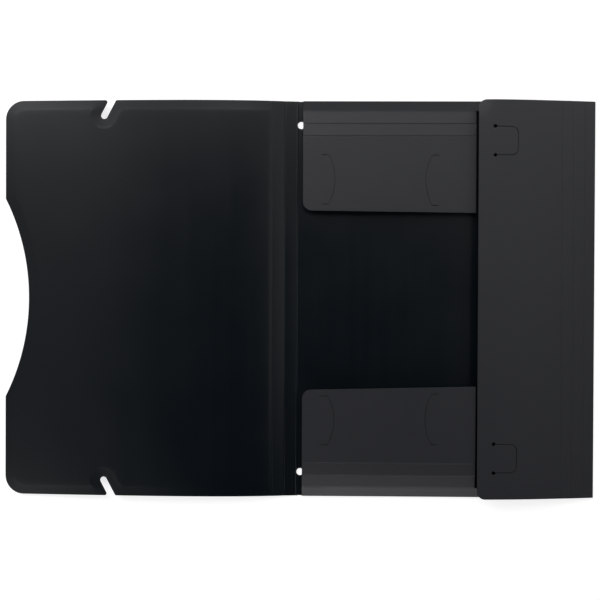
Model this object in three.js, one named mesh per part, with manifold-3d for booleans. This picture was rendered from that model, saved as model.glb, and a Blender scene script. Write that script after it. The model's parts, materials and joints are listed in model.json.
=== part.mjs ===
// An A4 three-flap folder: one die-cut, creased sheet of black polypropylene, lying open, its flaps folded in.
// Millimetres, +Z up. The origin is the centre of the back panel's underside, +X points to the side flap
// and +Y to the top flap.
import * as THREE from "three";
import { mergeVertices } from "three/addons/utils/BufferGeometryUtils.js";
import Module from "manifold-3d";

const wasm = await Module();
wasm.setup();

// The sheet, and the creases pressed into it
const sheetThickness = 0.6;
const creaseGap = 0.4; // between two panels, where the sheet is pressed thin
const creaseLift = 0.15; // of a crease's axis over the inner face
const grooveWidth = 0.5; // of the bevel on the inner face that leads into a crease
const grooveDepth = 0.25;
const slitWidth = 0.4; // of a cut that takes out no material

// The back panel and its two elastic holes
const backWidth = 240;
const backHeight = 320;
const elasticHoleDiameter = 5.8;
const elasticHoleFromCrease = 2.95;
const elasticHoleFromEdge = 19.4;

// The spine's two strips, from the back panel outwards
const innerSpineWidth = 10;
const outerSpineWidth = 10;
const innerSpineSlope = 7.4; // degrees over level, as are all slopes
const outerSpineSlope = 11.5;

// The front cover, bowed because the spine springs it up
const coverWidth = 218;
const coverCornerRadius = 15;
const coverLeavingSlope = 10.5; // at the spine
const coverLandingSlope = 4.2; // where the fore edge comes down to the table
const coverLeavingReach = 42; // over which the bow keeps to its slope at the spine
const coverLandingReach = 110;

// The cover's thumb cut-out and elastic slots
const thumbCutLength = 161;
const thumbCutDepth = 19.4;
const slotWidth = 5.5;
const slotLean = 28; // degrees, from square to the edge
const slotDepth = 12.4; // to the centre of its round end
const slotFromForeEdge = 81.4; // of that centre
const slotMouthRadius = 1.6;

// The top and bottom flaps
const wallDepth = 10;
const midStripDepth = 10;
const upperStripDepth = 10;
const flapDepth = 61;
const flapCornerRadius = 7.5;
const flapFromSpine = 4.6; // the flaps' left ends, from the spine's crease
const flapToSideFlap = 1.1; // in plan, from the flaps' right ends to the side flap's free edge
const wallTailReach = 32; // of the wall strips, full depth, under the side flap
const wallTailTaper = 47; // over which they then taper
const wallTailEndDepth = 1.6;
const topSlopes = [27, 5, 4, 0.5]; // of the wall, the two strips and the flap
const bottomSlopes = [31, 15, 9, 0.5];

// The side flap, over both
const sideWallDepth = 8.5;
const sideMidDepth = 9.5;
const sideUpperDepth = 9;
const sideFlapDepth = 68.5;
const sideFlapRise = 1.3; // of its bow, over its chord
const sideCornerRadius = 6.5;
const sideSlopes = [12.5, 10, 8.5, 6];

// The side flap's two tabs, each cut free on three sides, with round holes at its roots
const tabFromFreeEdge = 12.7; // of the root
const tabLength = 18.2;
const tabWidth = 23.2; // between the centres of the root holes
const tabCornerRadius = 5;
const tabFromEnd = 32.9; // of its middle, from the flap's end
const rootHoleDiameter = 2.9;

// The card tongues of the top and bottom flaps, each a curved slit between two short cuts
const tongueHeight = 40;
const tongueCut = 5.4; // length of the short cuts
const tongueBulge = 5.2; // of the curved slit, past the short cuts
const tongueFromFlapEnd = 15.1; // of the first root, from the flap's left end
const tongueSpacing = 94.3; // between the two roots
const tongueFromFreeEdge = 5.6; // of the nearer short cut

const inRadians = THREE.MathUtils.degToRad;
const halfTurn = 180; // degrees
const cornerSteps = 8;
const slitSteps = 24;
const discSteps = 24;
const thumbSteps = 260; // round the whole circle
const coverSteps = 32;
const bowSteps = 12;
const cutReach = 60; // of a cutter, above and below the sheet

const stockLength = 2 * backWidth; // of the sheet that a flap's panels are cut from

const sheetColour = { color: 0x26292c, roughness: 0.42, metalness: 0 };

// A closed three.js geometry as a solid, and back
function solidOf(geometry) {
  const bare = geometry.clone();
  bare.deleteAttribute("normal");
  bare.deleteAttribute("uv");
  const merged = mergeVertices(bare, 1e-4);
  return new wasm.Manifold(
    new wasm.Mesh({
      numProp: 3,
      vertProperties: merged.attributes.position.array,
      triVerts: new Uint32Array(merged.index.array),
    }),
  );
}

function geometryOf(solid) {
  const mesh = solid.getMesh();
  const geometry = new THREE.BufferGeometry();
  geometry.setAttribute("position", new THREE.BufferAttribute(mesh.vertProperties, 3));
  geometry.setIndex(new THREE.BufferAttribute(mesh.triVerts, 1));
  geometry.computeVertexNormals();
  return geometry;
}

// A closed outline through corners [x, y, radius], each rounded by an arc of its radius
function roundedOutline(corners) {
  const points = [];
  corners.forEach(([x, y, radius = 0], i) => {
    const corner = new THREE.Vector2(x, y);
    const before = corners[(i + corners.length - 1) % corners.length];
    const after = corners[(i + 1) % corners.length];
    const back = new THREE.Vector2(before[0], before[1]).sub(corner).normalize();
    const on = new THREE.Vector2(after[0], after[1]).sub(corner).normalize();
    if (radius === 0) {
      points.push(corner);
      return;
    }
    const half = Math.acos(THREE.MathUtils.clamp(back.dot(on), -1, 1)) / 2;
    const middle = back.clone().add(on).normalize().multiplyScalar(radius / Math.sin(half)).add(corner);
    const start = back.clone().multiplyScalar(radius / Math.tan(half)).add(corner).sub(middle);
    const end = on.clone().multiplyScalar(radius / Math.tan(half)).add(corner).sub(middle);
    const turn = Math.atan2(start.cross(end), start.dot(end));
    for (let k = 0; k <= cornerSteps; k++) {
      points.push(start.clone().rotateAround(new THREE.Vector2(), (turn * k) / cornerSteps).add(middle));
    }
  });
  return new THREE.Shape(points);
}

// A cutter: an outline in plan, carried up and down through the sheet
function cutterOf(shape) {
  const geometry = new THREE.ExtrudeGeometry(shape, { depth: 2 * cutReach, bevelEnabled: false });
  geometry.translate(0, 0, -cutReach);
  return solidOf(geometry);
}

function discCutter(x, y, diameter, steps = discSteps) {
  const geometry = new THREE.CylinderGeometry(diameter / 2, diameter / 2, 2 * cutReach, steps);
  geometry.rotateX(Math.PI / 2);
  geometry.translate(x, y, 0);
  return solidOf(geometry);
}

// The sheet between two creases, before its outline is cut: a section drawn along a curve of the inner face
// in the XZ plane, bevelled at each creased end, and drawn out along Y
function sheetAlong(curve, steps, creasedEnds, width) {
  const inner = [];
  const outer = [];
  for (let k = 0; k <= steps; k++) {
    const point = curve.getPoint(k / steps);
    const tangent = curve.getTangent(k / steps);
    const normal = new THREE.Vector2(-tangent.y, tangent.x);
    const atEnd = k === 0 || k === steps;
    if (atEnd && creasedEnds[k === 0 ? 0 : 1]) {
      const groove = point.clone().addScaledVector(normal, -grooveDepth);
      const lip = point.clone().addScaledVector(tangent, k === 0 ? grooveWidth : -grooveWidth);
      inner.push(...(k === 0 ? [groove, lip] : [lip, groove]));
    } else {
      inner.push(point);
    }
    outer.push(point.clone().addScaledVector(normal, -sheetThickness));
  }
  const section = new THREE.Shape([...inner, ...outer.reverse()]);
  const geometry = new THREE.ExtrudeGeometry(section, { depth: width, bevelEnabled: false });
  geometry.rotateX(Math.PI / 2);
  geometry.translate(0, width / 2, 0);
  return solidOf(geometry);
}

// A flat panel of a chain: its crease's axis is the Y axis, its inner face lies creaseLift under that
function flatSheet(depth, creasedFarEnd, width) {
  const far = depth - (creasedFarEnd ? creaseGap / 2 : 0);
  const line = new THREE.LineCurve(
    new THREE.Vector2(creaseGap / 2, -creaseLift),
    new THREE.Vector2(far, -creaseLift),
  );
  return sheetAlong(line, 1, [true, creasedFarEnd], width);
}

const sideDepths = [sideWallDepth, sideMidDepth, sideUpperDepth, sideFlapDepth];

const folder = new THREE.Group();

// Each panel is made in the frame of its own crease and named here
function addPanel(name, solid, parent) {
  const mesh = new THREE.Mesh(geometryOf(solid), new THREE.MeshStandardMaterial(sheetColour));
  mesh.name = name;
  parent.add(mesh);
}

// A crease: a group on the crease's axis, folded up from its parent's plane by an angle in degrees
function addCrease(parent, x, fold) {
  const crease = new THREE.Group();
  crease.position.x = x;
  crease.rotation.y = -inRadians(fold);
  parent.add(crease);
  return crease;
}

// The plane of an edge of the back panel: X outwards from that edge, Y along it, Z up through the crease's axis
function addEdge(x, y, heading) {
  const edge = new THREE.Group();
  edge.position.set(x, y, sheetThickness + creaseLift);
  edge.rotation.z = inRadians(heading);
  folder.add(edge);
  return edge;
}

function makeBackPanel() {
  const across = new THREE.LineCurve(
    new THREE.Vector2(-backWidth / 2 + creaseGap / 2, sheetThickness),
    new THREE.Vector2(backWidth / 2 - creaseGap / 2, sheetThickness),
  );
  let panel = sheetAlong(across, 1, [true, true], backHeight - creaseGap);
  for (const side of [1, -1]) {
    const x = -backWidth / 2 + elasticHoleFromCrease;
    const y = side * (backHeight / 2 - elasticHoleFromEdge);
    panel = panel.subtract(discCutter(x, y, elasticHoleDiameter));
  }
  addPanel("back_panel", panel, folder);
}

// The bow of the cover's inner face, level frame, from its crease to the fore edge on the table
function coverBow(creaseHeight) {
  const leaving = inRadians(coverLeavingSlope);
  const landing = inRadians(coverLandingSlope);
  const start = new THREE.Vector2(creaseGap / 2, -creaseLift);
  const end = new THREE.Vector2(coverWidth, sheetThickness * Math.cos(landing) - creaseHeight);
  return new THREE.CubicBezierCurve(
    start,
    new THREE.Vector2(Math.cos(leaving), Math.sin(leaving)).multiplyScalar(coverLeavingReach).add(start),
    new THREE.Vector2(-Math.cos(landing), Math.sin(landing)).multiplyScalar(coverLandingReach).add(end),
    end,
  );
}

function slotCutter(side) {
  const edge = backHeight / 2;
  const lean = Math.tan(inRadians(slotLean));
  const halfMouth = slotWidth / 2 / Math.cos(inRadians(slotLean));
  const endX = coverWidth - slotFromForeEdge;
  const mouthX = endX - slotDepth * lean;
  const overshoot = slotWidth;
  const run = new THREE.Vector2(endX - mouthX, -slotDepth).normalize();
  const across = new THREE.Vector2(-run.y, run.x).multiplyScalar(slotWidth / 2);
  const roundEnd = new THREE.Vector2(endX, edge - slotDepth);
  const corners = [
    [mouthX - halfMouth - 2 * slotMouthRadius, edge + overshoot],
    [mouthX - halfMouth - 2 * slotMouthRadius, edge],
    [mouthX - halfMouth, edge, slotMouthRadius],
    [roundEnd.x - across.x, roundEnd.y - across.y],
    [roundEnd.x + across.x, roundEnd.y + across.y],
    [mouthX + halfMouth, edge, slotMouthRadius],
    [mouthX + halfMouth + 2 * slotMouthRadius, edge],
    [mouthX + halfMouth + 2 * slotMouthRadius, edge + overshoot],
  ];
  const mirrored = corners.map(([x, y, radius]) => [x, side * y, radius]);
  return cutterOf(roundedOutline(mirrored)).add(discCutter(roundEnd.x, side * roundEnd.y, slotWidth));
}

function makeSpineAndCover() {
  const edge = addEdge(-backWidth / 2, 0, halfTurn);
  const innerCrease = addCrease(edge, 0, innerSpineSlope);
  addPanel("spine_strip_inner", flatSheet(innerSpineWidth, true, backHeight), innerCrease);
  const outerCrease = addCrease(innerCrease, innerSpineWidth, outerSpineSlope - innerSpineSlope);
  addPanel("spine_strip_outer", flatSheet(outerSpineWidth, true, backHeight), outerCrease);

  const coverCrease = addCrease(outerCrease, outerSpineWidth, -outerSpineSlope);
  folder.updateMatrixWorld(true);
  const creaseHeight = coverCrease.getWorldPosition(new THREE.Vector3()).z;
  const half = backHeight / 2;
  const outline = roundedOutline([
    [-creaseGap, -half],
    [coverWidth, -half, coverCornerRadius],
    [coverWidth, half, coverCornerRadius],
    [-creaseGap, half],
  ]);
  const thumbRadius = ((thumbCutLength / 2) ** 2 + thumbCutDepth ** 2) / (2 * thumbCutDepth);
  const thumbCentre = coverWidth - thumbCutDepth + thumbRadius;
  const cover = sheetAlong(coverBow(creaseHeight), coverSteps, [true, false], backHeight)
    .intersect(cutterOf(outline))
    .subtract(discCutter(thumbCentre, 0, 2 * thumbRadius, thumbSteps))
    .subtract(slotCutter(1))
    .subtract(slotCutter(-1));
  addPanel("front_cover", cover, coverCrease);
}

// The plan length of a chain of panels at rest
function planReach(depths, slopes) {
  return depths.reduce((sum, depth, i) => sum + depth * Math.cos(inRadians(slopes[i])), 0);
}

// The creases of a flap's chain, from the back panel's edge inwards: one group for each panel
function addFlapCreases(edge, depths, slopes) {
  const creases = [addCrease(edge, 0, halfTurn - slopes[0])];
  for (let i = 1; i < slopes.length; i++) {
    creases.push(addCrease(creases[i - 1], depths[i - 1], slopes[i - 1] - slopes[i]));
  }
  return creases;
}

// A tongue's outline, grown by a margin: its root on the Y axis, its curved side towards +X
function tongueOutline(margin, root) {
  const half = tongueHeight / 2 + margin;
  const bulge = tongueBulge + margin;
  const radius = (half ** 2 + bulge ** 2) / (2 * bulge);
  const spread = Math.asin(half / radius);
  const points = [new THREE.Vector2(root, half), new THREE.Vector2(root, -half)];
  for (let k = 0; k <= slitSteps; k++) {
    const angle = -spread + (2 * spread * k) / slitSteps;
    const x = tongueCut + bulge - radius + radius * Math.cos(angle);
    points.push(new THREE.Vector2(x, radius * Math.sin(angle)));
  }
  return points;
}

// The top flap (turn 1) or the bottom one (turn -1), which is its mirror image
function makeEndFlap(prefix, turn, slopes) {
  const edge = addEdge(0, (turn * backHeight) / 2, (turn * halfTurn) / 2);
  const depths = [wallDepth, midStripDepth, upperStripDepth, flapDepth];
  const creases = addFlapCreases(edge, depths, slopes);
  const sideReach = planReach(sideDepths, sideSlopes);
  const leftEnd = -backWidth / 2 + flapFromSpine;
  const rightEnd = backWidth / 2 - sideReach - flapToSideFlap;
  const along = (x) => -turn * x;

  const tailEnd = rightEnd + wallTailReach + wallTailTaper;
  const wall = roundedOutline([
    [0, along(leftEnd)],
    [wallDepth + creaseGap, along(leftEnd)],
    [wallDepth + creaseGap, along(rightEnd + wallTailReach)],
    [wallTailEndDepth, along(tailEnd)],
    [0, along(tailEnd)],
  ]);
  const names = ["wall", "mid_strip", "upper_strip"];
  const outlines = [wall];
  for (const depth of [midStripDepth, upperStripDepth]) {
    outlines.push(
      roundedOutline([
        [0, along(leftEnd)],
        [depth, along(leftEnd)],
        [depth, along(rightEnd)],
        [0, along(rightEnd)],
      ]),
    );
  }
  names.forEach((name, i) => {
    const strip = flatSheet(depths[i], true, stockLength).intersect(cutterOf(outlines[i]));
    addPanel(prefix + "_" + name, strip, creases[i]);
  });

  const flapOutline = roundedOutline([
    [0, along(leftEnd)],
    [flapDepth, along(leftEnd), flapCornerRadius],
    [flapDepth, along(rightEnd)],
    [0, along(rightEnd)],
  ]);
  const plainSheet = flatSheet(flapDepth, false, stockLength);
  let flap = plainSheet.intersect(cutterOf(flapOutline));
  const tongueX = flapDepth - tongueFromFreeEdge - tongueHeight / 2;
  const firstRoot = leftEnd + tongueFromFlapEnd;
  const tongues = [
    { side: "left", root: firstRoot, towards: 1 },
    { side: "right", root: firstRoot + tongueSpacing, towards: -1 },
  ];
  for (const { side, root, towards } of tongues) {
    const placed = (points) =>
      new THREE.Shape(points.map((p) => new THREE.Vector2(tongueX + p.y, along(root + towards * p.x))));
    flap = flap.subtract(cutterOf(placed(tongueOutline(slitWidth, -creaseGap / 2))));
    const tongue = plainSheet.intersect(cutterOf(placed(tongueOutline(0, creaseGap / 2))));
    addPanel(prefix + "_tongue_" + side, tongue, creases[3]);
  }
  addPanel(prefix + "_flap", flap, creases[3]);
}

// A tab's outline, grown by a margin: its root on the Y axis, its free end towards -X
function tabOutline(margin, root) {
  const half = tabWidth / 2 - slitWidth + margin;
  const end = -tabLength - margin;
  const radius = tabCornerRadius + margin;
  return [
    [root, half],
    [end, half, radius],
    [end, -half, radius],
    [root, -half],
  ];
}

function makeSideFlap() {
  const edge = addEdge(backWidth / 2, 0, 0);
  const creases = addFlapCreases(edge, sideDepths, sideSlopes);
  ["side_wall", "side_mid_strip", "side_upper_strip"].forEach((name, i) => {
    addPanel(name, flatSheet(sideDepths[i], true, backHeight), creases[i]);
  });

  const half = backHeight / 2;
  const outline = roundedOutline([
    [0, -half],
    [sideFlapDepth, -half, sideCornerRadius],
    [sideFlapDepth, half, sideCornerRadius],
    [0, half],
  ]);
  // The bow is an arc, outwards when folded in, so downwards in the flap's own frame
  const bow = new THREE.QuadraticBezierCurve(
    new THREE.Vector2(creaseGap / 2, -creaseLift),
    new THREE.Vector2(sideFlapDepth / 2, -creaseLift - 2 * sideFlapRise),
    new THREE.Vector2(sideFlapDepth, -creaseLift),
  );
  const plainSheet = sheetAlong(bow, bowSteps, [true, false], backHeight);
  let flap = plainSheet.intersect(cutterOf(outline));
  const rootX = sideFlapDepth - tabFromFreeEdge;
  const tabCentre = half - tabFromEnd;
  for (const [name, centre] of [["upper", tabCentre], ["lower", -tabCentre]]) {
    const placed = (corners) =>
      cutterOf(roundedOutline(corners.map(([x, y, radius]) => [rootX + x, centre + y, radius])));
    const rootHoles = [1, -1]
      .map((end) => discCutter(rootX, centre + (end * tabWidth) / 2, rootHoleDiameter))
      .reduce((a, b) => a.add(b));
    flap = flap.subtract(placed(tabOutline(slitWidth, creaseGap / 2))).subtract(rootHoles);
    const tab = plainSheet.intersect(placed(tabOutline(0, -creaseGap / 2))).subtract(rootHoles);
    addPanel("side_tab_" + name, tab, creases[3]);
  }
  addPanel("side_flap", flap, creases[3]);
}

makeBackPanel();
makeSpineAndCover();
makeEndFlap("top", 1, topSlopes);
makeEndFlap("bottom", -1, bottomSlopes);
makeSideFlap();

export default folder;
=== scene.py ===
import json
from math import acos, asin, atan2, cos, pi, radians, sin, tan

import bmesh
import bpy
import numpy as np
from mathutils import Matrix, Vector
from mathutils.geometry import delaunay_2d_cdt, normal


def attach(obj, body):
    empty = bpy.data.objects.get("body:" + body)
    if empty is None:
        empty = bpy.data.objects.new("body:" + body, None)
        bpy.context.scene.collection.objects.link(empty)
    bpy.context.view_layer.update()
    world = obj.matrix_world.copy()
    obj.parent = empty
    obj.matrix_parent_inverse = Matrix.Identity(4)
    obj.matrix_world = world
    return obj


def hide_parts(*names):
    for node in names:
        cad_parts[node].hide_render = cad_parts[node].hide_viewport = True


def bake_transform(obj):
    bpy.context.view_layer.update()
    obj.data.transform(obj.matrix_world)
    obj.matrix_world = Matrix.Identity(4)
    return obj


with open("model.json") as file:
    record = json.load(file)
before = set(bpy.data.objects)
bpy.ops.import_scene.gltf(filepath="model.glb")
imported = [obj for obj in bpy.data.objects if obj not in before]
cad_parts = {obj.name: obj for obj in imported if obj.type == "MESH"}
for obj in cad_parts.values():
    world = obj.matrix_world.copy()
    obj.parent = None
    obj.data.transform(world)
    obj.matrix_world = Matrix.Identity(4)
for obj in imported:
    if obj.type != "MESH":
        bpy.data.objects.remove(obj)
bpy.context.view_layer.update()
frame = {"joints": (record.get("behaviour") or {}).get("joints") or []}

# An open A4 three-flap folder of black polypropylene sheet, seen from straight above.
# Sizes are in millimetres and degrees, and from the table on in metres and degrees.
# finishPiece turns the meshes into metres.

mm = 0.001
creases = {joint["name"]: Vector(joint["pos_m"]) / mm for joint in frame["joints"]}

stock = {
    "thickness": 0.6,
    "creaseLift": 0.15,  # of a crease's axis over the inner face
    "creaseGap": 0.4,  # between two panels
    "innerGroove": (0.5, 0.25),  # width and depth of the bevels that lead into a crease
    "outerGroove": (0.35, 0.13),
    "slit": 0.4,
    "edgeRounding": 0.08,  # of a die-cut edge
    "edgeSegments": 2,
    "edgeAngle": 50,  # a bend sharper than this is an edge
    "evenShade": 80,  # how far the larger faces decide the shading
}
grid = {  # how finely outlines and surfaces are divided
    "spacing": 4.0,
    "onRings": 2.0,
    "fromEdges": 0.12,
    "fromRings": 0.8,
    "roundUp": 0.499,
    "cornerSteps": 10,
    "bowPoints": 2000,
    "bowResolution": 200,
    "merge": 1e-5,
    "shortest": 1e-12,  # squared length of an edge that isn't a single point
    "sliver": 1e-4,  # least area of a face over its longest side squared
    "touching": 1e-3,
}


# Outlines, in a panel's own plane: x from its crease, y along it

def roundedOutline(corners):  # closed, through (x, y, radius) corners
    points = []
    for i, corner in enumerate(corners):
        here = Vector(corner[:2])
        radius = corner[2] if len(corner) > 2 else 0
        if radius == 0:
            points.append(here)
            continue
        back = (Vector(corners[i - 1][:2]) - here).normalized()
        on = (Vector(corners[(i + 1) % len(corners)][:2]) - here).normalized()
        half = acos(max(-1, min(1, back.dot(on)))) / 2
        centre = here + (back + on).normalized() * radius / sin(half)
        first = here + back * radius / tan(half) - centre
        last = here + on * radius / tan(half) - centre
        turn = atan2(first.x * last.y - first.y * last.x, first.dot(last))
        steps = grid["cornerSteps"]
        points += [centre + Matrix.Rotation(turn * k / steps, 2) @ first for k in range(steps + 1)]
    return points


def arcPoints(centre, radius, fromAngle, toAngle, steps):
    angles = np.linspace(fromAngle, toAngle, steps + 1)
    return [Vector(centre) + radius * Vector((cos(a), sin(a))) for a in angles]


def divided(points, longest):  # the same outline with no longer edge than that
    result = []
    for i, point in enumerate(points):
        after = points[(i + 1) % len(points)]
        parts = max(1, round((after - point).length / longest + grid["roundUp"]))
        result += [point.lerp(after, k / parts) for k in range(parts)]
    return result


def inside(points, loops):  # which points lie in the first loop and in no other one
    odd = np.zeros(len(points), bool)
    for loop in loops:
        ring = np.array([tuple(p) for p in loop])
        for (ax, ay), (bx, by) in zip(ring, np.roll(ring, -1, axis=0)):
            if ay != by:
                spans = (ay > points[:, 1]) != (by > points[:, 1])
                odd ^= spans & (points[:, 0] < ax + (points[:, 1] - ay) * (bx - ax) / (by - ay))
    return odd


def fromEdge(points, a, b):  # each point's distance from the edge between a and b
    edge = b - a
    t = np.clip(((points - a) @ edge) / max(edge @ edge, grid["shortest"]), 0, 1)
    return np.linalg.norm(points - a - t[:, None] * edge, axis=1)


def clearOf(points, loops, distance):  # which points keep that distance from all of the loops
    keep = np.ones(len(points), bool)
    for loop in loops:
        ring = np.array([tuple(p) for p in loop])
        for a, b in zip(ring, np.roll(ring, -1, axis=0)):
            keep &= fromEdge(points, a, b) > distance
    return keep


# The place of a panel: the crease's axis, the way it runs, the way along the crease, the inner side

def panelPlace(origin, way, along, inner):
    place = Matrix.Identity(4)
    for column, vector in enumerate((way, along, inner)):
        place.col[column].xyz = Vector(vector).normalized()
    place.translation = Vector(origin)
    return place


# Geometry Nodes: a tree with named inputs, and its result as a plain mesh

def newTree(name, inputs):
    tree = bpy.data.node_groups.new(name, "GeometryNodeTree")
    tree.interface.new_socket("Geometry", in_out="INPUT", socket_type="NodeSocketGeometry")
    for label, kind in inputs:
        tree.interface.new_socket(label, in_out="INPUT", socket_type="NodeSocket" + kind)
    tree.interface.new_socket("Geometry", in_out="OUTPUT", socket_type="NodeSocketGeometry")
    return tree, tree.nodes.new("NodeGroupInput").outputs, tree.nodes.new("NodeGroupOutput").inputs


def addNode(tree, kind, links, **settings):  # links: input name or number to a value or an output
    node = tree.nodes.new(kind)
    for key, value in settings.items():
        setattr(node, key, value)
    for key, value in links.items():
        if isinstance(value, bpy.types.NodeSocket):
            tree.links.new(value, node.inputs[key])
        else:
            node.inputs[key].default_value = value
    return node


def mathNode(tree, operation, *values, kind="ShaderNodeMath"):
    return addNode(tree, kind, dict(enumerate(values)), operation=operation).outputs[0]


def runTree(piece, tree, values):
    modifier = piece.modifiers.new(tree.name, "NODES")
    modifier.node_group = tree
    for item in tree.interface.items_tree:
        if item.in_out == "INPUT" and item.name in values:
            value = values[item.name]
            modifier[item.identifier] = tuple(value) if isinstance(value, Vector) else value
    makeReal(piece)


def makeReal(piece):  # the modifiers' result becomes the piece's own mesh
    graph = bpy.context.evaluated_depsgraph_get()
    piece.data = bpy.data.meshes.new_from_object(
        piece.evaluated_get(graph), preserve_all_data_layers=True, depsgraph=graph
    )
    piece.modifiers.clear()


def buildSheetTree():  # lays a flat, finished sheet on a bow, and makes it slightly uneven
    tree, given, result = newTree("sheetOnBow", [
        ("Start", "Vector"), ("Start Handle", "Vector"),
        ("End Handle", "Vector"), ("End", "Vector"),
        ("Unevenness", "Float"), ("Wave Length", "Float"),
        ("Calm Near Crease", "Float"), ("Seed", "Float"),
        ("Inner Finish", "Material"), ("Outer Finish", "Material"), ("Cut Finish", "Material"),
    ])
    place = addNode(tree, "GeometryNodeInputPosition", {}).outputs[0]
    flat = addNode(tree, "ShaderNodeSeparateXYZ", {0: place}).outputs
    seeded = addNode(tree, "ShaderNodeCombineXYZ", {
        0: flat[0], 1: flat[1], 2: given["Seed"],
    }).outputs[0]
    size = mathNode(tree, "DIVIDE", 1.0, given["Wave Length"])
    noise = addNode(tree, "ShaderNodeTexNoise", {
        "Vector": seeded, "Scale": size, "Detail": 0.0,
    }).outputs[0]
    calm = addNode(tree, "ShaderNodeMapRange", {
        "Value": flat[0], "From Min": 0.0, "From Max": given["Calm Near Crease"],
    }, interpolation_type="SMOOTHSTEP").outputs[0]
    wave = mathNode(tree, "MULTIPLY", mathNode(tree, "SUBTRACT", noise, 0.5), calm)
    height = mathNode(tree, "MULTIPLY_ADD", wave, given["Unevenness"], flat[2])
    bow = addNode(tree, "GeometryNodeCurvePrimitiveBezierSegment", {
        "Resolution": grid["bowResolution"],
        "Start": given["Start"], "Start Handle": given["Start Handle"],
        "End Handle": given["End Handle"], "End": given["End"],
    }, mode="POSITION").outputs[0]
    sample = addNode(tree, "GeometryNodeSampleCurve", {
        "Curves": bow, "Length": flat[0],
    }, mode="LENGTH").outputs
    slope = addNode(tree, "ShaderNodeSeparateXYZ", {0: sample["Tangent"]}).outputs
    upright = addNode(tree, "ShaderNodeCombineXYZ", {
        0: mathNode(tree, "MULTIPLY", slope[2], -1.0), 2: slope[0],
    }).outputs[0]
    raised = addNode(tree, "ShaderNodeVectorMath", {
        0: upright, "Scale": height,
    }, operation="SCALE").outputs[0]
    across = addNode(tree, "ShaderNodeCombineXYZ", {1: flat[1]}).outputs[0]
    onBow = mathNode(tree, "ADD", sample["Position"], raised, kind="ShaderNodeVectorMath")
    laid = mathNode(tree, "ADD", onBow, across, kind="ShaderNodeVectorMath")
    bent = addNode(tree, "GeometryNodeSetPosition", {
        "Geometry": given["Geometry"], "Position": laid,
    }).outputs[0]
    coated = addNode(tree, "GeometryNodeRealizeInstances", {0: bent}).outputs[0]
    side = addNode(tree, "GeometryNodeInputNamedAttribute", {
        "Name": "side",
    }, data_type="INT").outputs[0]
    for k, finish in enumerate(finishes):
        chosen = addNode(tree, "FunctionNodeCompare", {
            2: side, 3: k,
        }, data_type="INT", operation="EQUAL").outputs[0]
        coated = addNode(tree, "GeometryNodeSetMaterial", {
            "Geometry": coated, "Selection": chosen, "Material": given[finish],
        }).outputs[0]
    tree.links.new(coated, result[0])
    return tree


def buildWebTree():  # draws a crease's section out along the crease, into a closed strip
    tree, given, result = newTree("creaseStrip", [
        ("Run", "Vector"), ("Inner Way", "Vector"),
        ("Inner Finish", "Material"), ("Outer Finish", "Material"),
    ])
    drawn = addNode(tree, "GeometryNodeExtrudeMesh", {
        "Mesh": given["Geometry"], "Offset": given["Run"], "Offset Scale": 1.0, "Individual": False,
    }, mode="FACES").outputs["Mesh"]
    back = addNode(tree, "GeometryNodeFlipFaces", {"Mesh": given["Geometry"]}).outputs[0]
    whole = addNode(tree, "GeometryNodeJoinGeometry", {0: drawn})
    tree.links.new(back, whole.inputs[0])
    closed = addNode(tree, "GeometryNodeMergeByDistance", {
        "Geometry": whole.outputs[0], "Distance": web["merge"],
    }).outputs[0]
    real = addNode(tree, "GeometryNodeRealizeInstances", {0: closed}).outputs[0]
    facing = addNode(tree, "GeometryNodeInputNormal", {}).outputs[0]
    turned = addNode(tree, "ShaderNodeVectorMath", {
        0: facing, 1: given["Inner Way"],
    }, operation="DOT_PRODUCT").outputs["Value"]
    within = addNode(tree, "FunctionNodeCompare", {
        0: turned, 1: web["facing"],
    }, operation="GREATER_THAN").outputs[0]
    coated = addNode(tree, "GeometryNodeSetMaterial", {
        "Geometry": real, "Material": given["Outer Finish"],
    }).outputs[0]
    coated = addNode(tree, "GeometryNodeSetMaterial", {
        "Geometry": coated, "Selection": within, "Material": given["Inner Finish"],
    }).outputs[0]
    tree.links.new(coated, result[0])
    return tree


# Pieces

def newPiece(name, points, faces, materials=()):
    mesh = bpy.data.meshes.new(name)
    mesh.from_pydata([tuple(p) for p in points], [], faces)
    for material in materials:
        mesh.materials.append(material)
    piece = bpy.data.objects.new(name, mesh)
    bpy.context.scene.collection.objects.link(piece)
    return piece


def finishPiece(piece, place, rounding=0.0, kept=None):
    # in metres and at its place, with rounded cut edges but for those between two kept points
    piece.data.transform(Matrix.Scale(mm, 4) @ place)
    work = bmesh.new()
    work.from_mesh(piece.data)
    bmesh.ops.recalc_face_normals(work, faces=work.faces)
    share = work.edges.layers.float.new("bevel_weight_edge")
    for edge in work.edges:
        cut = edge.calc_face_angle(0) > radians(stock["edgeAngle"])
        meeting = cut and kept is not None and all(kept[v.index] for v in edge.verts)
        edge.smooth = not meeting and (rounding > 0 or not cut)
        edge[share] = 1.0 if cut and not meeting else 0.0
    for face in work.faces:
        face.smooth = True
    work.to_mesh(piece.data)
    work.free()
    if rounding:
        cutEdges = piece.modifiers.new("cutEdges", "BEVEL")
        cutEdges.width = rounding * mm
        cutEdges.segments = stock["edgeSegments"]
        cutEdges.limit_method = "WEIGHT"
        cutEdges.material = list(finishes).index("Cut Finish")
    evenShade = piece.modifiers.new("evenShade", "WEIGHTED_NORMAL")
    evenShade.weight = stock["evenShade"]
    evenShade.keep_sharp = True
    makeReal(piece)
    piece.data.name = piece.name


def grooves(x, creasedAt, groove):  # depth of the bevels beside the creases
    width, depth = groove
    total = np.zeros_like(x)
    for crease in creasedAt:
        total += depth * np.clip(1 - (np.abs(x - crease) - stock["creaseGap"] / 2) / width, 0, 1)
    return total


def straightBow(start, end):
    ends = Vector((start, 0, -stock["creaseLift"])), Vector((end, 0, -stock["creaseLift"]))
    return [ends[0], ends[0].lerp(ends[1], 1 / 3), ends[0].lerp(ends[1], 2 / 3), ends[1]]


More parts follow.
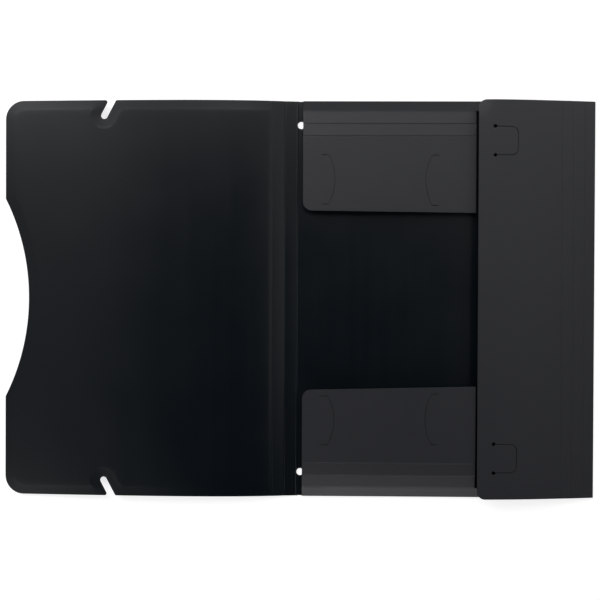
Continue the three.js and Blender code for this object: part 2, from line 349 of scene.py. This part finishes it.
def bezier(t, a, b, c, d):
    return (1 - t) ** 3 * a + 3 * (1 - t) ** 2 * t * b + 3 * (1 - t) * t ** 2 * c + t ** 3 * d


def developed(bow, x):  # length along the bow for each x in plan
    t = np.linspace(0, 1, grid["bowPoints"])[:, None]
    curve = bezier(t, *(np.array(p) for p in bow))
    length = np.concatenate([[0], np.cumsum(np.linalg.norm(np.diff(curve, axis=0), axis=1))])
    return np.interp(x, curve[:, 0], length)


def flatFaces(outline, holes, rings, creasedAt):  # points and triangles of a panel laid out flat
    loops = [divided(loop, grid["spacing"]) for loop in (outline, *holes)]
    extra = [divided(loop, grid["onRings"]) for loop in rings]
    corners = np.array([tuple(p) for p in loops[0]])
    low, high = corners.min(0), corners.max(0)
    xs, ys = (
        list(np.linspace(low[k], high[k], max(2, round((high[k] - low[k]) / grid["spacing"])) + 1))
        for k in (0, 1)
    )
    for crease in creasedAt:
        inwards = 1 if crease < (low[0] + high[0]) / 2 else -1
        for width, _ in (stock["innerGroove"], stock["outerGroove"]):
            xs.append(crease + inwards * (stock["creaseGap"] / 2 + width))
    field = np.array([(x, y) for x in sorted(xs) for y in ys])
    field = field[inside(field, loops)]
    field = field[clearOf(field, loops, grid["fromEdges"])]
    field = field[clearOf(field, extra, grid["fromRings"])]

    points, edges = [], []
    for loop in loops + extra:
        first = len(points)
        points += [tuple(p) for p in loop]
        edges += [(first + k, first + (k + 1) % len(loop)) for k in range(len(loop))]
    points += [tuple(p) for p in field]
    points = [Vector(p) for p in points]
    flat, _, faces, *_ = delaunay_2d_cdt(points, edges, [], 0, grid["merge"])
    flat, faces = np.array([tuple(p) for p in flat]), np.array(faces)
    faces = faces[inside(flat[faces].mean(1), loops)]
    sides = flat[faces] - flat[np.roll(faces, 1, axis=1)]
    area = np.abs(sides[:, 0, 0] * sides[:, 1, 1] - sides[:, 0, 1] * sides[:, 1, 0]) / 2
    faces = faces[area > grid["sliver"] * (sides ** 2).sum(2).max(1)]
    used, faces = np.unique(faces, return_inverse=True)
    return flat[used], faces.reshape(-1, 3)


def makeSheet(name, place, outline, bow, holes=(), creasedAt=(), rings=(), pressed=None,
              reach=None, roots=(), waves="strip"):
    # roots are (axis, value, from, to) of the lines where another piece joins on
    flat, faces = flatFaces(outline, holes, rings, creasedAt)
    x, y = flat[:, 0], flat[:, 1]
    kept = np.zeros(len(flat), bool)
    near = grid["touching"]
    for axis, value, start, end in roots:
        other = flat[:, 1 - axis]
        onLine = np.abs(flat[:, axis] - value) < near
        kept |= onLine & (other > start - near) & (other < end + near)
    sunk = pressed(x, y) if pressed else np.zeros_like(x)
    innerDepth = grooves(x, creasedAt, stock["innerGroove"]) + sunk
    outerDepth = stock["thickness"] - grooves(x, creasedAt, stock["outerGroove"]) + sunk
    along = developed(bow, x * reach(y) if reach else x)
    both = np.concatenate([np.stack([along, y, -depth], 1) for depth in (innerDepth, outerDepth)])

    count = len(flat)
    directed = {(int(a), int(b)) for f in faces for a, b in zip(f, np.roll(f, -1))}
    rim = sorted((a, b) for a, b in directed if (b, a) not in directed)
    allFaces = [tuple(int(i) for i in f) for f in faces]
    allFaces += [tuple(int(i) + count for i in f[::-1]) for f in faces]
    allFaces += [(b, a, a + count, b + count) for a, b in rim]
    piece = newPiece(name, both, allFaces, finishes.values())
    sides = [0] * len(faces) + [1] * len(faces) + [2] * len(rim)  # inner, outer and cut
    piece.data.attributes.new("side", "INT", "FACE").data.foreach_set("value", sides)
    values = dict(zip(("Start", "Start Handle", "End Handle", "End"), bow))
    runTree(piece, sheetTree, {**values, **panelWaves[waves], **finishes})
    finishPiece(piece, place, stock["edgeRounding"], np.concatenate([kept, kept]))
    return piece


def makePanel(name, node, place, outline, **shape):  # it takes the CAD node's place and rides on it
    piece = makeSheet(name, place, outline, **shape)
    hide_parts(node)
    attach(piece, node)


def wholeStrip(start, end):  # its corners, where None stands for x at the next crease
    gap = stock["creaseGap"] / 2
    return [(gap, start), (None, start), (None, end), (gap, end)]


def makeStrip(name, node, fold, after, place, corners):
    length = (after - fold).length
    gap = stock["creaseGap"] / 2
    outline = roundedOutline([(length - gap if x is None else x, y) for x, y in corners])
    makePanel(name, node, place, outline, bow=straightBow(gap, length - gap), creasedAt=(0, length))


def makeTongue(name, node, parent, place, outline, root, end, **shape):
    # a tongue or a tab, cut free on three sides; it stays flat, and the points worked out from root
    # and end are not used
    piece = makeSheet(name, place, outline, **shape)
    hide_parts(node)
    start, end = (place @ Vector((*point, 0)) * mm for point in (root, end))
    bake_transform(piece)


# The living hinges: the sheet pressed thin between two panels

web = {
    "thickness": 0.3,
    "hold": 0.8,  # how far it reaches into both panels
    "steps": (4, 12),  # across a slight and a sharp fold
    "sharp": 0.3,  # radians
    "straight": 0.02,
    "merge": 1e-4,
    "facing": 0.01,  # least part of the inner way in the direction of an inner face
    "punchSides": 48,
    "punchHeight": 20,
}


def makeWeb(name, at, axis, side, before, after, span, neck, holes=()):
    # neck is how far under the axis it leaves one panel and meets the other
    def inner(way):  # side says which way round the crease's axis the inner face lies
        return way.cross(axis).normalized() * side

    depth = stock["thickness"] / 2 + stock["creaseLift"]
    gap = stock["creaseGap"] / 2
    fold = before.angle(after)
    innerBefore, innerAfter = inner(before), inner(after)
    start = -before * gap - innerBefore * neck
    end = after * gap - innerAfter * neck
    chord = (end - start).length
    pull = chord / 3 if fold < web["straight"] else 2 / 3 * chord * tan(fold / 4) / sin(fold / 2)
    path = [-before * web["hold"] - innerBefore * depth]
    steps = web["steps"][fold > web["sharp"]]
    for k in range(steps + 1):
        path.append(bezier(k / steps, start, start + before * pull, end - after * pull, end))
    path.append(after * web["hold"] - innerAfter * depth)
    near, far = [], []
    for k, point in enumerate(path):
        way = (path[min(k + 1, len(path) - 1)] - path[max(k - 1, 0)]).normalized()
        half = inner(way) * web["thickness"] / 2
        near.append(point + half)
        far.append(point - half)
    ring = [Vector(at) + axis * span[0] + p for p in near + far[::-1]]
    if normal(ring).dot(axis) < 0:
        ring.reverse()
    piece = newPiece(name, ring, [tuple(range(len(ring)))], finishes.values())
    runTree(piece, webTree, {
        "Run": axis * (span[1] - span[0]), "Inner Way": innerBefore + innerAfter, **finishes,
    })
    for x, y, radius in holes:
        bpy.ops.mesh.primitive_cylinder_add(
            vertices=web["punchSides"], radius=radius, depth=web["punchHeight"],
            location=(x, y, at[2]),
        )
        punch = bpy.context.object
        cut = piece.modifiers.new("punch", "BOOLEAN")
        cut.object = punch
        cut.solver = "EXACT"
        makeReal(piece)
        bpy.data.objects.remove(punch)
    finishPiece(piece, Matrix.Identity(4))
    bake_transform(piece)


# Finishes: smooth on the sheet's inner face, finely grained on its outer one, duller where cut

innerLook = {
    "colour": (0.0004, 0.0023, 0.0043, 1),
    "specular": 0.42,
    "roughness": 0.30,
    "patchiness": 0.035,  # of the gloss
    "grain": 0.02,  # height, in millimetres
    "grainSize": 0.9,
}
outerLook = {
    "colour": (0.0004, 0.0014, 0.0048, 1),
    "specular": 0.70,
    "roughness": 0.50,
    "patchiness": 0.03,
    "grain": 0.06,
    "grainSize": 0.55,
}
cutLook = {
    "colour": (0.0060, 0.0075, 0.0090, 1),
    "specular": 0.50,
    "roughness": 0.42,
    "patchiness": 0.02,
    "grain": 0.03,
    "grainSize": 0.3,
}
sheen = {  # of all three; patches and streaks of the gloss are size, detail and stretch
    "ior": 1.49,
    "patches": (45, 3),
    "streaks": (6, 2, (1, 0.02, 1)),
    "grainDetail": 2,
}


def makeFinish(name, look):  # satin polypropylene
    material = bpy.data.materials.new(name)
    material.use_nodes = True
    tree = material.node_tree
    shader = tree.nodes["Principled BSDF"]
    shader.inputs["Base Color"].default_value = look["colour"]
    shader.inputs["IOR"].default_value = sheen["ior"]
    shader.inputs["Specular IOR Level"].default_value = look["specular"]
    place = tree.nodes.new("ShaderNodeTexCoord").outputs["Object"]

    def noise(size, detail, stretch=(1, 1, 1)):
        scaled = addNode(tree, "ShaderNodeMapping", {"Vector": place, "Scale": stretch}).outputs[0]
        return addNode(tree, "ShaderNodeTexNoise", {
            "Vector": scaled, "Scale": 1 / (size * mm), "Detail": detail,
        }).outputs[0]

    patchiness = look["patchiness"]
    patches = mathNode(tree, "MULTIPLY_ADD", noise(*sheen["patches"]), 2 * patchiness,
                       look["roughness"] - patchiness)
    streaks = mathNode(tree, "SUBTRACT", noise(*sheen["streaks"]), 0.5)
    gloss = mathNode(tree, "MULTIPLY_ADD", streaks, patchiness, patches)
    tree.links.new(gloss, shader.inputs["Roughness"])
    fine = noise(look["grainSize"], sheen["grainDetail"])
    grain = mathNode(tree, "MULTIPLY", fine, look["grain"])
    bump = addNode(tree, "ShaderNodeBump", {"Strength": 1.0, "Distance": mm, "Height": grain})
    tree.links.new(bump.outputs[0], shader.inputs["Normal"])
    return material


finishes = {
    "Inner Finish": makeFinish("polypropyleneInner", innerLook),
    "Outer Finish": makeFinish("polypropyleneOuter", outerLook),
    "Cut Finish": makeFinish("polypropyleneCut", cutLook),
}
sheetTree = buildSheetTree()
webTree = buildWebTree()

panelWaves = {  # how uneven the panels are
    "strip": {"Unevenness": 0.0, "Wave Length": 80.0, "Calm Near Crease": 30.0, "Seed": 0.0},
    "top": {"Unevenness": 0.16, "Wave Length": 70.0, "Calm Near Crease": 14.0, "Seed": 3.0},
    "bottom": {"Unevenness": 0.16, "Wave Length": 70.0, "Calm Near Crease": 14.0, "Seed": 11.0},
    "side": {"Unevenness": 0.12, "Wave Length": 80.0, "Calm Near Crease": 14.0, "Seed": 7.0},
    "cover": {"Unevenness": 0.10, "Wave Length": 110.0, "Calm Near Crease": 20.0, "Seed": 5.0},
}


# The back panel, with its two elastic holes beside the spine

backPanel = {
    "width": 240,
    "height": 320,
    "holeDiameter": 5.8,
    "holeFromCrease": 2.95,
    "holeFromEdge": 19.4,
    "holeSteps": 40,
    "rim": 0.05,  # least sheet between a hole and the crease
}
holeCentres = [
    (
        backPanel["holeFromCrease"] - backPanel["width"] / 2,
        side * (backPanel["height"] / 2 - backPanel["holeFromEdge"]),
    )
    for side in (1, -1)
]


def makeBackPanel():
    gap = stock["creaseGap"] / 2
    wide, high = backPanel["width"] / 2 - gap, backPanel["height"] / 2 - gap
    axisHeight = stock["thickness"] + stock["creaseLift"]
    place = panelPlace((0, 0, axisHeight), (1, 0, 0), (0, 1, 0), (0, 0, 1))
    radius, steps = backPanel["holeDiameter"] / 2, backPanel["holeSteps"]
    holes = [arcPoints(centre, radius, 0, 2 * pi, steps)[:-1] for centre in holeCentres]
    for point in holes[0] + holes[1]:
        point.x = max(point.x, backPanel["rim"] - wide)
    outline = roundedOutline([(-wide, -high), (wide, -high), (wide, high), (-wide, high)])
    creased = (-backPanel["width"] / 2, backPanel["width"] / 2)
    makePanel("backPanelSheet", "back_panel", place, outline, bow=straightBow(-wide, wide),
              holes=holes, creasedAt=creased)


# The spine's strips and the bowed front cover

cover = {
    "width": 218,
    "cornerRadius": 15,
    "leavingSlope": 10.5,
    "landingSlope": 4.2,
    "leavingReach": 42,
    "landingReach": 110,
    "thumbLength": 161,
    "thumbDepth": 19.4,
    "thumbSteps": 60,
    "slotWidth": 5.5,
    "slotLean": 28,
    "slotDepth": 12.4,
    "slotFromForeEdge": 81.4,
    "slotMouthRadius": 1.6,
}
rimBand = {  # the cover sinks a little towards its cut edges
    "width": 7.8,
    "slope": 0.26,
    "step": 0.7,
    "drop": 0.06,
    "fromCrease": 1,
    "spacing": 3.0,  # of the outline's points from which its width is measured
}
spineCreases = {  # name: joint and neck
    "innerSpineCrease": ("spine_inner_crease", 0.12),
    "middleSpineCrease": ("spine_middle_crease", 0.5),
    "coverCrease": ("cover_crease", 0.45),
}


def coverBow(creaseHeight):  # of the cover's inner face, from its crease to where it lands
    leaving, landing = radians(cover["leavingSlope"]), radians(cover["landingSlope"])
    start = Vector((stock["creaseGap"] / 2, 0, -stock["creaseLift"]))
    sunk = rimBand["drop"] + rimBand["slope"]
    end = Vector((cover["width"], 0, stock["thickness"] * cos(landing) + sunk - creaseHeight))
    out = start + cover["leavingReach"] * Vector((cos(leaving), 0, sin(leaving)))
    back = end + cover["landingReach"] * Vector((-cos(landing), 0, sin(landing)))
    return [start, out, back, end]


def slotCorners(side, inset=0.0):  # of an elastic slot, or of the line that far round it
    edge = backPanel["height"] / 2 - inset
    lean = radians(cover["slotLean"])
    half = cover["slotWidth"] / 2 + inset
    end = Vector((
        cover["width"] - cover["slotFromForeEdge"], backPanel["height"] / 2 - cover["slotDepth"],
    ))
    run = Vector((sin(lean), -cos(lean)))
    across = Vector((-run.y, run.x)) * half
    mouth = end.x - (edge - end.y) * tan(lean)
    tip = end + run * half
    corners = [
        (mouth + half / cos(lean), edge, cover["slotMouthRadius"]),
        (*(tip + across), half),
        (*(tip - across), half),
        (mouth - half / cos(lean), edge, cover["slotMouthRadius"]),
    ]
    return [(x, side * y, r) for x, y, r in corners][::side]


def coverOutline(inset=0.0):
    half = backPanel["height"] / 2 - inset
    fore = cover["width"] - inset
    gap = stock["creaseGap"] / 2 + (rimBand["fromCrease"] if inset else 0)
    radius = cover["cornerRadius"] - inset
    depth, length = cover["thumbDepth"], cover["thumbLength"]
    thumbRadius = ((length / 2) ** 2 + depth ** 2) / (2 * depth)
    centre = (cover["width"] - depth + thumbRadius, 0)
    thumbRadius += inset
    spread = acos((centre[0] - fore) / thumbRadius)
    thumb = arcPoints(centre, thumbRadius, pi + spread, pi - spread, cover["thumbSteps"])
    lower = [(gap, -half), *slotCorners(-1, inset), (fore, -half, radius), (fore, 0)]
    upper = [(fore, 0), (fore, half, radius), *slotCorners(1, inset), (gap, half)]
    return roundedOutline(lower)[:-1] + thumb + roundedOutline(upper)[1:]


def coverPressed(x, y):  # how far the rim band lies under the rest of the cover's inner face
    points = np.stack([x, y], 1)
    outline = np.array([tuple(p) for p in divided(coverOutline(), rimBand["spacing"])])
    away = np.full(len(points), np.inf)
    for a, b in zip(outline, np.roll(outline, -1, axis=0)):
        if max(a[0], b[0]) >= rimBand["fromCrease"]:  # the crease is no free edge
            away = np.minimum(away, fromEdge(points, a, b))
    fall = np.clip((rimBand["width"] - away) / rimBand["width"], 0, 1)
    step = np.clip((rimBand["width"] - away) / rimBand["step"], 0, 1)
    return rimBand["slope"] * fall + rimBand["drop"] * step


def makeSpineAndCover():
    away, along = Vector((-1, 0, 0)), Vector((0, 1, 0))
    half = backPanel["height"] / 2
    inner, middle, outer = (creases[joint] for joint, _ in spineCreases.values())
    ways = [away]
    for name, node, crease, after in (
        ("innerSpineStrip", "spine_strip_inner", inner, middle),
        ("outerSpineStrip", "spine_strip_outer", middle, outer),
    ):
        way = (after - crease).normalized()
        place = panelPlace(crease, way, along, along.cross(way))
        makeStrip(name, node, crease, after, place, wholeStrip(-half, half))
        ways.append(way)

    place = panelPlace(outer, away, along, (0, 0, 1))
    rings = [coverOutline(rimBand["width"] - inwards) for inwards in (0, rimBand["step"])]
    makePanel("frontCoverSheet", "front_cover", place, coverOutline(), bow=coverBow(outer.z),
              creasedAt=(0,), rings=rings, pressed=coverPressed, waves="cover")

    leaving = radians(cover["leavingSlope"])
    ways.append(away * cos(leaving) + Vector((0, 0, sin(leaving))))
    punched = [(*centre, backPanel["holeDiameter"] / 2) for centre in holeCentres]
    for i, (name, (joint, neck)) in enumerate(spineCreases.items()):
        makeWeb(name, creases[joint], along, -1, ways[i], ways[i + 1],
                (-half, half), neck, punched if i == 0 else ())


# The top and bottom flaps, each a wall, two strips and a flap with two card tongues

endFlap = {
    "flapDepth": 61,
    "cornerRadius": 7.5,
    "fromSpine": 4.6,
    "toSideFlap": 1.1,
    "tailReach": 32,
    "tailTaper": 47,
    "tailEndDepth": 1.6,
    "flapSlope": 0.5,
    # share of its depth beside the spine and beside the side flap
    "reach": {"top": (0.982, 1.009), "bottom": (0.966, 1.020)},
}
tongue = {
    "height": 40,
    "cut": 5.4,
    "bulge": 5.2,
    "slitBulge": 0.5,  # share of the margin round a tongue by which its bulge grows
    "arcSteps": 32,
    "fromFlapEnd": 15.1,
    "spacing": 94.3,
    "fromFreeEdge": 5.6,
    "softRoot": 5.0,  # length from the root to a tongue's end point; nothing bends over it
}
flapNecks = {  # of the four creases of each flap
    "top": (0.22, 0.36, 0.36, 0.36),
    "bottom": (0.22, 0.45, 0.66, 0.36),
    "side": (0.32, 0.45, 0.45, 0.45),
}
flapParts = ("Wall", "Mid", "Upper", "Flap")


def flapNodes(prefix):
    return [f"{prefix}_wall", f"{prefix}_mid_strip", f"{prefix}_upper_strip", f"{prefix}_flap"]


def tongueLoop(centre, root, towards, margin):  # from the root line round the curved slit
    half = tongue["height"] / 2 + margin
    bulge = tongue["bulge"] + margin * tongue["slitBulge"]
    radius = (half ** 2 + bulge ** 2) / (2 * bulge)
    spread = asin(half / radius)
    tip = tongue["cut"] + bulge - radius
    arc = arcPoints((tip, 0), radius, -spread, spread, tongue["arcSteps"])
    points = [Vector((0, -half)), *arc, Vector((0, half))]
    return [Vector((centre + p.y, root + towards * p.x)) for p in points]


def flapPlaces(prefix, across, lastWay):  # creases, ways and places from the wall to the flap
    folds = [creases[f"{prefix}_{n}_crease"] for n in ("wall", "mid", "upper", "flap")]
    ways = [(b - a).normalized() for a, b in zip(folds, folds[1:])] + [lastWay]
    places = []
    for fold, way in zip(folds, ways):
        inner = way.cross(across)
        places.append(panelPlace(fold, way, across, inner if inner.z < 0 else -inner))
    return folds, ways, places


def makeStrips(prefix, folds, places, outlines):  # a flap's wall and two strips
    for i, corners in enumerate(outlines):
        name = prefix + flapParts[i] + "Sheet"
        makeStrip(name, flapNodes(prefix)[i], folds[i], folds[i + 1], places[i], corners)


def makeFlapWebs(prefix, folds, ways, across, start, spans):  # start is the back panel's way
    ways = [start, *ways]
    side = 1 if start.cross(across).z > 0 else -1
    for i, part in enumerate(flapParts):
        makeWeb(prefix + part + "Crease", folds[i], across, side,
                ways[i], ways[i + 1], spans[i], flapNecks[prefix][i])


def makeEndFlap(prefix, side):  # side is 1 for the top flap and -1 for the bottom one
    across = Vector((1, 0, 0))
    slope = radians(endFlap["flapSlope"])
    folds, ways, places = flapPlaces(prefix, across, Vector((0, -side * cos(slope), sin(slope))))
    flapNode = flapNodes(prefix)[3]
    gap = stock["creaseGap"] / 2
    left = endFlap["fromSpine"] - backPanel["width"] / 2
    sideReach = sideFlap["flapDepth"] * cos(radians(sideFlap["flapSlope"]))
    right = creases["side_flap_crease"].x - sideReach - sideFlap["lip"] - endFlap["toSideFlap"]
    tailFull = right + endFlap["tailReach"]
    tailEnd = tailFull + endFlap["tailTaper"]
    whole = wholeStrip(left, right)
    wall = [*whole[:2], (None, tailFull), (endFlap["tailEndDepth"], tailEnd), (gap, tailEnd)]
    makeStrips(prefix, folds, places, (wall, whole, whole))

    depth = endFlap["flapDepth"]
    outline = roundedOutline([
        (gap, left), (depth, left, endFlap["cornerRadius"]), (depth, right), (gap, right),
    ])
    centre = depth - tongue["fromFreeEdge"] - tongue["height"] / 2
    half = tongue["height"] / 2 + stock["slit"]
    first = left + tongue["fromFlapEnd"]
    tongues = [(first, 1, "left"), (first + tongue["spacing"], -1, "right")]
    shape = {
        "bow": straightBow(gap, depth * endFlap["reach"][prefix][1]),
        "reach": lambda y: np.interp(y, (left, right), endFlap["reach"][prefix]),
        "roots": [(1, root, centre - half, centre + half) for root, *_ in tongues],
        "waves": prefix,
    }
    holes = [tongueLoop(centre, root, towards, stock["slit"]) for root, towards, _ in tongues]
    makePanel(prefix + "FlapSheet", flapNode, places[3], outline,
              holes=holes, creasedAt=(0,), **shape)
    for root, towards, which in tongues:
        name, node = f"{prefix}{which.title()}Tongue", f"{prefix}_tongue_{which}"
        loop = tongueLoop(centre, root, towards, 0)
        end = (centre, root + towards * tongue["softRoot"])
        makeTongue(name, node, flapNode, places[3], loop, (centre, root), end, **shape)
    spans = [(left, tailEnd)] + [(left, right)] * 3
    makeFlapWebs(prefix, folds, ways, across, Vector((0, side, 0)), spans)


# The side flap over both, with its two tabs

sideFlap = {
    "flapDepth": 68.5,
    "lip": 0.5,  # how far its free edge reaches past the solid's
    "rise": 1.3,
    "cornerRadius": 6.5,
    "flapSlope": 6,
    "cornerDroop": 2.2,
    "droopReach": 15,
}
tab = {
    "fromFreeEdge": 12.7,
    "length": 18.2,
    "width": 23.2,
    "cornerRadius": 5,
    "fromEnd": 32.9,
    "rootHole": 2.9,
    "softRoot": 4.0,
    "holeSteps": 20,
    "footSteps": 8,  # along a tab's own side of a root hole
}


def sideBow():  # outwards over its chord
    ends = straightBow(stock["creaseGap"] / 2, sideFlap["flapDepth"] + sideFlap["lip"])
    for point in ends[1:3]:  # a bow rises by three quarters of its handles' height
        point.z -= sideFlap["rise"] * 4 / 3
    return ends


def sideDroop(x, y):  # the upper free corner bends down a little
    away = np.hypot(x - sideFlap["flapDepth"], y - backPanel["height"] / 2)
    return -sideFlap["cornerDroop"] * np.clip(1 - away / sideFlap["droopReach"], 0, 1) ** 2


def tabLoop(root, centre, margin):  # a tab's outline, or with a margin the opening round it
    half = tab["width"] / 2 - stock["slit"] + margin
    end = root - tab["length"] - margin
    hole = tab["rootHole"] / 2
    holeAt = tab["width"] / 2
    steps = tab["holeSteps"] if margin else tab["footSteps"]
    if margin:
        upper = arcPoints((root, holeAt), hole, -pi / 2, pi, steps)
        lower = arcPoints((root, -holeAt), hole, -pi, pi / 2, steps)
    else:
        meets = asin((half - holeAt) / hole)
        upper = arcPoints((root, holeAt), hole, -pi / 2, -pi - meets, steps)
        lower = arcPoints((root, -holeAt), hole, pi + meets, pi / 2, steps)
    far = roundedOutline([(root, half), (end, half, tab["cornerRadius"] + margin),
                          (end, -half, tab["cornerRadius"] + margin), (root, -half)])[1:-1]
    return [Vector((p.x, p.y + centre)) for p in [*upper, *far, *lower]]


def makeSideFlap():
    across = Vector((0, 1, 0))
    slope = radians(sideFlap["flapSlope"])
    folds, ways, places = flapPlaces("side", across, Vector((-cos(slope), 0, sin(slope))))
    flapNode = flapNodes("side")[3]
    gap = stock["creaseGap"] / 2
    half = backPanel["height"] / 2
    makeStrips("side", folds, places, [wholeStrip(-half, half)] * 3)

    depth, radius = sideFlap["flapDepth"], sideFlap["cornerRadius"]
    edge = depth + sideFlap["lip"]
    outline = roundedOutline([
        (gap, -half), (edge, -half, radius), (edge, half, radius), (gap, half),
    ])
    root = depth - tab["fromFreeEdge"]
    tabs = [("upper", half - tab["fromEnd"]), ("lower", tab["fromEnd"] - half)]
    rooted = (tab["width"] - tab["rootHole"]) / 2
    shape = {
        "bow": sideBow(),
        "roots": [(0, root, centre - rooted, centre + rooted) for _, centre in tabs],
        "waves": "side",
        "pressed": sideDroop,
    }
    holes = [tabLoop(root, centre, stock["slit"]) for _, centre in tabs]
    makePanel("sideFlapSheet", flapNode, places[3], outline, holes=holes, creasedAt=(0,), **shape)
    for which, centre in tabs:
        loop = tabLoop(root, centre, 0)
        end = (root - tab["softRoot"], centre)
        makeTongue(which + "TabSheet", f"side_tab_{which}", flapNode, places[3], loop,
                   (root, centre), end, **shape)
    makeFlapWebs("side", folds, ways, across, Vector((1, 0, 0)), [(-half, half)] * 4)


makeBackPanel()
print("back panel done")
makeSpineAndCover()
print("spine and cover done")
makeEndFlap("top", 1)
makeEndFlap("bottom", -1)
print("end flaps done")
makeSideFlap()
print("side flap done")


# The table, the light and the camera, in metres

table = {
    "size": 1.9,
    "below": 0.0002,
    "white": 0.8,
    "lit": 0.45,  # its white for the camera, to which its glow is added
    "shown": 0.74,
}
lamps = {  # softboxes: degrees from straight up, degrees round from +X, size, watts
    "right": (64, 0, 0.66, 0.90),
    "highRight": (31, 0, 0.52, 0.81),
    "backRight": (64, 45, 0.66, 6.12),
    "highBackRight": (31, 45, 0.52, 0.86),
    "highBack": (31, 90, 0.52, 2.99),
    "highBackLeft": (31, 135, 0.52, 0.60),
    "backLeft": (47, 135, 0.62, 5.47),
    "lowBackLeft": (64, 135, 0.66, 7.17),
    "highLeft": (31, 180, 0.52, 0.30),
    "frontLeft": (47, 225, 0.62, 2.20),
    "lowFrontLeft": (64, 225, 0.66, 1.92),
    "front": (64, 270, 0.66, 4.89),
    "frontRight": (64, 315, 0.66, 1.03),
}
lampsAt = {"centre": (-0.12, 0.0, 0.0), "distance": 1.5}
view = {
    "at": (-0.1018, 0.0080, 0.900),
    "turned": (-0.567, 1.004, 0.240),
    "lens": 66.45,
    "nearest": 0.05,
}


def makeTable():  # the camera sees it whiter than it is for the light that it throws back
    size = table["size"] / 2
    corners = ((-size, -size), (size, -size), (size, size), (-size, size))
    floor = newPiece("table", [(x, y, -table["below"]) for x, y in corners], [(0, 1, 2, 3)])
    material = bpy.data.materials.new("tableWhite")
    material.use_nodes = True
    tree = material.node_tree
    tree.nodes.clear()
    plain, seen = (
        addNode(tree, "ShaderNodeBsdfDiffuse", {"Color": (table[share],) * 3 + (1,)}).outputs[0]
        for share in ("white", "lit")
    )
    glow = addNode(tree, "ShaderNodeEmission", {"Strength": table["shown"]}).outputs[0]
    bright = addNode(tree, "ShaderNodeAddShader", {0: seen, 1: glow}).outputs[0]
    fromCamera = addNode(tree, "ShaderNodeLightPath", {}).outputs["Is Camera Ray"]
    choice = addNode(tree, "ShaderNodeMixShader", {0: fromCamera, 1: plain, 2: bright}).outputs[0]
    addNode(tree, "ShaderNodeOutputMaterial", {0: choice})
    floor.data.materials.append(material)


def makeLight():
    centre = Vector(lampsAt["centre"])
    for name, (fromUp, fromRight, size, watts) in lamps.items():
        light = bpy.data.lights.new(name, "AREA")
        light.size = size
        light.energy = watts
        lamp = bpy.data.objects.new(name, light)
        a, b = radians(fromUp), radians(fromRight)
        way = Vector((sin(a) * cos(b), sin(a) * sin(b), cos(a)))
        lamp.location = centre + way * lampsAt["distance"]
        lamp.rotation_euler = (-way).to_track_quat("-Z", "Y").to_euler()
        lamp.visible_camera = False
        bpy.context.scene.collection.objects.link(lamp)
    world = bpy.data.worlds.new("studio")  # white for the camera, and no light of its own
    bpy.context.scene.world = world
    world.use_nodes = True
    tree = world.node_tree
    fromCamera = addNode(tree, "ShaderNodeLightPath", {}).outputs["Is Camera Ray"]
    background = tree.nodes["Background"]
    background.inputs["Color"].default_value = (1, 1, 1, 1)
    tree.links.new(fromCamera, background.inputs["Strength"])


def makeCamera():
    data = bpy.data.cameras.new("camera")
    data.lens = view["lens"]
    data.clip_start = view["nearest"]
    camera = bpy.data.objects.new("camera", data)
    camera.location = view["at"]
    camera.rotation_euler = [radians(a) for a in view["turned"]]
    bpy.context.scene.collection.objects.link(camera)
    bpy.context.scene.camera = camera


makeTable()
makeLight()
makeCamera()
bpy.context.scene.view_settings.view_transform = "Standard"
print("stage done")
